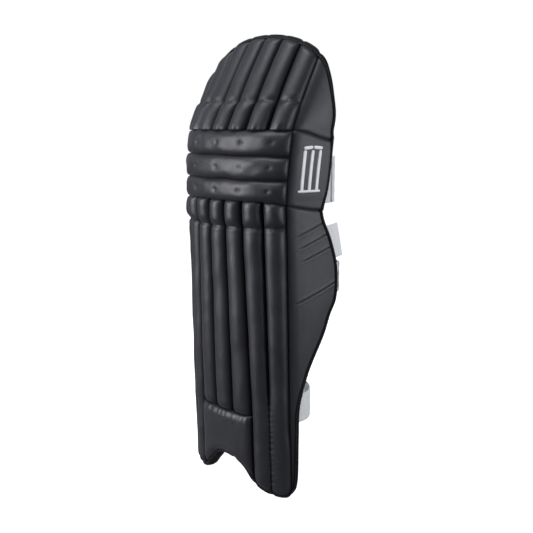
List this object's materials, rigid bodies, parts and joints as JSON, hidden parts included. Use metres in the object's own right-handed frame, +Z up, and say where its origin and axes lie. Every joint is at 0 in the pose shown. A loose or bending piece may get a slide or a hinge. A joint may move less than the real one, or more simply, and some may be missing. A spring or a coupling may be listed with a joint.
{
  "type": "batting leg guard",
  "caption": "Padded leg guard with cane shin rolls, horizontal knee rolls, a leaning top hat, side wings and three rear straps.",
  "frame": {"origin": "middle of the leg space, level with the lowest edge of the guard", "axes": "+Z up along the shin, -Y out of the front of the guard, +X towards the outer side of the left leg"},
  "size_m": [0.2585, 0.1826, 0.691],
  "materials": {
    "cover": "satin black polyurethane with a fine grain",
    "panel": "satin black polyurethane, flatter and slightly lighter",
    "binding": "folded black edge tape",
    "foam": "dense grey foam",
    "lining": "brushed white cloth",
    "cane": "split cane",
    "webbing": "white webbing",
    "loop": "brushed loop pile",
    "badge": "white moulded badge",
    "label": "blank white satin label"
  },
  "bodies": {
    "shin": {"shin_core": "foam", "shin_lining": "lining", "shin_roll_1": "cover", "shin_cane_1": "cane", "shin_roll_2": "cover", "shin_cane_2": "cane", "shin_roll_3": "cover", "shin_cane_3": "cane", "shin_roll_4": "cover", "shin_cane_4": "cane", "shin_roll_5": "cover", "shin_cane_5": "cane", "shin_roll_6": "cover", "shin_cane_6": "cane", "shin_roll_7": "cover", "shin_cane_7": "cane", "outer_wing": "panel", "outer_shin_bolster": "lining", "inner_wing": "panel", "inner_shin_bolster": "lining", "instep_pad": "cover", "shin_binding": "binding", "calf_strap_anchor": "webbing", "calf_loop_patch": "loop", "ankle_strap_anchor": "webbing", "ankle_loop_patch": "loop", "care_label": "label"},
    "knee": {"knee_core": "foam", "knee_lining": "lining", "knee_roll_1": "cover", "knee_roll_2": "cover", "knee_roll_3": "cover", "outer_knee_panel": "panel", "outer_knee_bolster": "lining", "inner_knee_panel": "panel", "inner_knee_bolster": "lining", "outer_knee_binding": "binding", "inner_knee_binding": "binding", "wicket_badge": "badge", "knee_strap_anchor": "webbing", "knee_loop_patch": "loop"},
    "top_hat": {"top_hat_core": "foam", "top_hat_lining": "lining", "top_hat_roll_1": "cover", "top_hat_roll_2": "cover", "top_hat_roll_3": "cover", "top_hat_roll_4": "cover", "top_hat_roll_5": "cover", "top_hat_roll_6": "cover", "top_hat_roll_7": "cover", "outer_top_panel": "panel", "inner_top_panel": "panel", "top_hat_binding": "binding"},
    "knee_strap": {"knee_strap": "webbing"},
    "knee_strap_end": {"knee_strap_end": "webbing"},
    "calf_strap": {"calf_strap": "webbing"},
    "calf_strap_end": {"calf_strap_end": "webbing"},
    "ankle_strap": {"ankle_strap": "webbing"},
    "ankle_strap_end": {"ankle_strap_end": "webbing"}
  },
  "joints": [
    {"name": "knee_tilt", "type": "hinge", "parent": "shin", "child": "knee", "pos_m": [0, -0.072, 0.453], "axis": [1, 0, 0], "range_deg": [0, 10]},
    {"name": "top_hat_tilt", "type": "hinge", "parent": "knee", "child": "top_hat", "pos_m": [0, -0.065, 0.553], "axis": [1, 0, 0], "range_deg": [0, 15]},
    {"name": "knee_strap_swing", "type": "hinge", "parent": "knee", "child": "knee_strap", "pos_m": [0.10635, 0.05268, 0.481], "axis": [0, 0, -1], "range_deg": [0, 85]},
    {"name": "knee_strap_peel", "type": "hinge", "parent": "knee_strap", "child": "knee_strap_end", "pos_m": [-0.12599, 0.01639, 0.481], "axis": [0, 0, -1], "range_deg": [0, 60]},
    {"name": "calf_strap_swing", "type": "hinge", "parent": "shin", "child": "calf_strap", "pos_m": [0.10727, 0.07051, 0.332], "axis": [0, 0, -1], "range_deg": [0, 85]},
    {"name": "calf_strap_peel", "type": "hinge", "parent": "calf_strap", "child": "calf_strap_end", "pos_m": [-0.12674, 0.02195, 0.332], "axis": [0, 0, -1], "range_deg": [0, 60]},
    {"name": "ankle_strap_swing", "type": "hinge", "parent": "shin", "child": "ankle_strap", "pos_m": [0.0565, 0.05187, 0.138], "axis": [0, 0, -1], "range_deg": [0, 85]},
    {"name": "ankle_strap_peel", "type": "hinge", "parent": "ankle_strap", "child": "ankle_strap_end", "pos_m": [-0.12761, 0.01944, 0.138], "axis": [0, 0, -1], "range_deg": [0, 60]}
  ]
}
